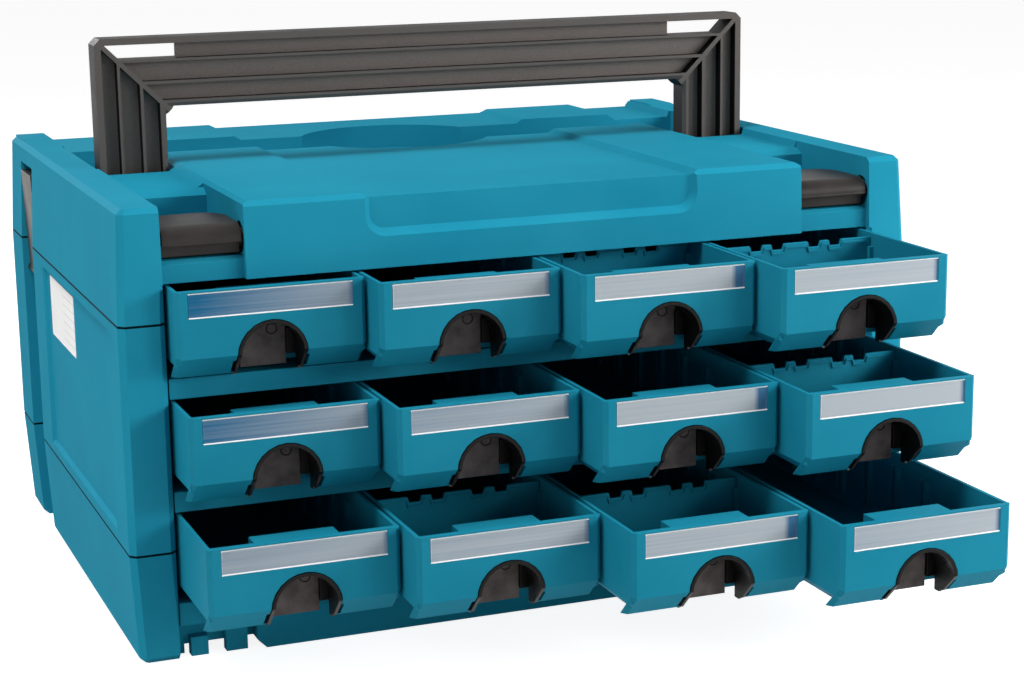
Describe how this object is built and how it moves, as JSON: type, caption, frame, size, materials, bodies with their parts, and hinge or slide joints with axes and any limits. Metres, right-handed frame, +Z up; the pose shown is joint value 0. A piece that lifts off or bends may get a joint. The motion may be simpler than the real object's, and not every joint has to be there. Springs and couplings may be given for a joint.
{
  "type": "drawer_organizer_case",
  "caption": "Stacking plastic organizer case with rows of pull-out small-parts drawers, finger pulls, label strips, a fold-down carry handle and corner latches",
  "frame": {"origin": "middle of the underside of the case", "axes": "+X to the right seen from the drawer side, +Y to the back, +Z up"},
  "size_m": [0.396, 0.4293, 0.2722],
  "materials": {
    "teal_plastic": "matte",
    "dark_plastic": "satin",
    "clear_plastic": "gloss"
  },
  "bodies": {
    "case": {"base_tray": "teal_plastic", "body_ring": "teal_plastic", "lid": "teal_plastic", "rack_side_left": "teal_plastic", "rack_side_right": "teal_plastic", "shelf_upper": "teal_plastic", "shelf_middle": "teal_plastic", "shelf_lower": "teal_plastic"},
    "handle_frame": {"handle": "dark_plastic"},
    "front_clasp_left": {"latch_front_left": "dark_plastic"},
    "rear_clasp_left": {"latch_rear_left": "dark_plastic"},
    "front_clasp_right": {"latch_front_right": "dark_plastic"},
    "rear_clasp_right": {"latch_rear_right": "dark_plastic"},
    "drawer_unit_r1_c1": {"drawer_r1_c1": "teal_plastic", "pull_r1_c1": "dark_plastic", "label_strip_r1_c1": "clear_plastic"},
    "drawer_unit_r1_c2": {"drawer_r1_c2": "teal_plastic", "pull_r1_c2": "dark_plastic", "label_strip_r1_c2": "clear_plastic"},
    "drawer_unit_r1_c3": {"drawer_r1_c3": "teal_plastic", "pull_r1_c3": "dark_plastic", "label_strip_r1_c3": "clear_plastic", "divider_r1_c3": "teal_plastic"},
    "drawer_unit_r1_c4": {"drawer_r1_c4": "teal_plastic", "pull_r1_c4": "dark_plastic", "label_strip_r1_c4": "clear_plastic", "divider_r1_c4": "teal_plastic"},
    "drawer_unit_r2_c1": {"drawer_r2_c1": "teal_plastic", "pull_r2_c1": "dark_plastic", "label_strip_r2_c1": "clear_plastic"},
    "drawer_unit_r2_c2": {"drawer_r2_c2": "teal_plastic", "pull_r2_c2": "dark_plastic", "label_strip_r2_c2": "clear_plastic"},
    "drawer_unit_r2_c3": {"drawer_r2_c3": "teal_plastic", "pull_r2_c3": "dark_plastic", "label_strip_r2_c3": "clear_plastic"},
    "drawer_unit_r2_c4": {"drawer_r2_c4": "teal_plastic", "pull_r2_c4": "dark_plastic", "label_strip_r2_c4": "clear_plastic", "divider_r2_c4": "teal_plastic"},
    "drawer_unit_r3_c1": {"drawer_r3_c1": "teal_plastic", "pull_r3_c1": "dark_plastic", "label_strip_r3_c1": "clear_plastic"},
    "drawer_unit_r3_c2": {"drawer_r3_c2": "teal_plastic", "pull_r3_c2": "dark_plastic", "label_strip_r3_c2": "clear_plastic", "divider_r3_c2": "teal_plastic"},
    "drawer_unit_r3_c3": {"drawer_r3_c3": "teal_plastic", "pull_r3_c3": "dark_plastic", "label_strip_r3_c3": "clear_plastic", "divider_r3_c3": "teal_plastic"},
    "drawer_unit_r3_c4": {"drawer_r3_c4": "teal_plastic", "pull_r3_c4": "dark_plastic", "label_strip_r3_c4": "clear_plastic"}
  },
  "joints": [
    {"name": "handle_fold", "type": "hinge", "parent": "case", "child": "handle_frame", "pos_m": [0, -0.0015, 0.197], "axis": [-1, 0, 0], "range_deg": [0, 90]},
    {"name": "front_clasp_left_turn", "type": "hinge", "parent": "case", "child": "front_clasp_left", "pos_m": [-0.1584, -0.1376, 0.1924], "axis": [1, 0, 0], "range_deg": [0, 95]},
    {"name": "rear_clasp_left_turn", "type": "hinge", "parent": "case", "child": "rear_clasp_left", "pos_m": [-0.1928, 0.0958, 0.141], "axis": [0, -1, 0], "range_deg": [0, 100]},
    {"name": "front_clasp_right_turn", "type": "hinge", "parent": "case", "child": "front_clasp_right", "pos_m": [0.1584, -0.1376, 0.1924], "axis": [1, 0, 0], "range_deg": [0, 95]},
    {"name": "rear_clasp_right_turn", "type": "hinge", "parent": "case", "child": "rear_clasp_right", "pos_m": [0.1928, 0.0958, 0.141], "axis": [0, 1, 0], "range_deg": [0, 100]},
    {"name": "drawer_r1_c1_slide", "type": "slide", "parent": "case", "child": "drawer_unit_r1_c1", "axis": [0, -1, 0], "range_m": [-0.0144, 0.1856]},
    {"name": "drawer_r1_c2_slide", "type": "slide", "parent": "case", "child": "drawer_unit_r1_c2", "axis": [0, -1, 0], "range_m": [-0.0316, 0.1684]},
    {"name": "drawer_r1_c3_slide", "type": "slide", "parent": "case", "child": "drawer_unit_r1_c3", "axis": [0, -1, 0], "range_m": [-0.0536, 0.1464]},
    {"name": "drawer_r1_c4_slide", "type": "slide", "parent": "case", "child": "drawer_unit_r1_c4", "axis": [0, -1, 0], "range_m": [-0.0776, 0.1224]},
    {"name": "drawer_r2_c1_slide", "type": "slide", "parent": "case", "child": "drawer_unit_r2_c1", "axis": [0, -1, 0], "range_m": [-0.0318, 0.1682]},
    {"name": "drawer_r2_c2_slide", "type": "slide", "parent": "case", "child": "drawer_unit_r2_c2", "axis": [0, -1, 0], "range_m": [-0.0532, 0.1468]},
    {"name": "drawer_r2_c3_slide", "type": "slide", "parent": "case", "child": "drawer_unit_r2_c3", "axis": [0, -1, 0], "range_m": [-0.0772, 0.1228]},
    {"name": "drawer_r2_c4_slide", "type": "slide", "parent": "case", "child": "drawer_unit_r2_c4", "axis": [0, -1, 0], "range_m": [-0.1028, 0.0972]},
    {"name": "drawer_r3_c1_slide", "type": "slide", "parent": "case", "child": "drawer_unit_r3_c1", "axis": [0, -1, 0], "range_m": [-0.0556, 0.1444]},
    {"name": "drawer_r3_c2_slide", "type": "slide", "parent": "case", "child": "drawer_unit_r3_c2", "axis": [0, -1, 0], "range_m": [-0.0756, 0.1244]},
    {"name": "drawer_r3_c3_slide", "type": "slide", "parent": "case", "child": "drawer_unit_r3_c3", "axis": [0, -1, 0], "range_m": [-0.1074, 0.0926]},
    {"name": "drawer_r3_c4_slide", "type": "slide", "parent": "case", "child": "drawer_unit_r3_c4", "axis": [0, -1, 0], "range_m": [-0.1348, 0.0652]}
  ]
}
